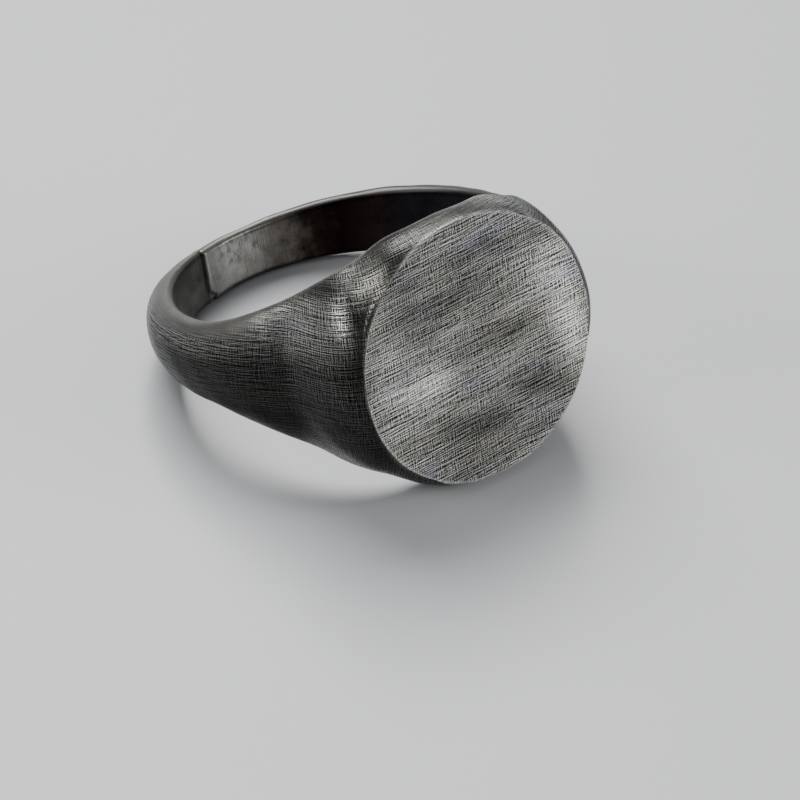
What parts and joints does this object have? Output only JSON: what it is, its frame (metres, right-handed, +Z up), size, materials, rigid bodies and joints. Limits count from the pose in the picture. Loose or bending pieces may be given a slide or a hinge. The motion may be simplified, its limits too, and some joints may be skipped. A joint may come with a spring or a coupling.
{
  "type": "signet ring",
  "caption": "Round-faced signet ring in brushed, darkened silver, lying on its side, with a blank flat face for engraving.",
  "frame": {"origin": "bottom centre of the ring's box as it lies on its side, on the surface it rests on", "axes": "+X toward the face, +Y along the width of the face, +Z up; the finger hole's axis leans back from +Z by the resting tip"},
  "size_m": [0.0226, 0.0208, 0.0142],
  "materials": {
    "shank_silver": "brushed oxidised silver",
    "joint_solder": "dark worn solder",
    "face_silver": "cross-brushed oxidised silver",
    "seam_solder": "filed solder"
  },
  "bodies": {
    "root": {"shank": "shank_silver", "shank_solder_joint": "joint_solder", "face_plate": "face_silver", "face_solder_seam": "seam_solder"}
  },
  "joints": []
}
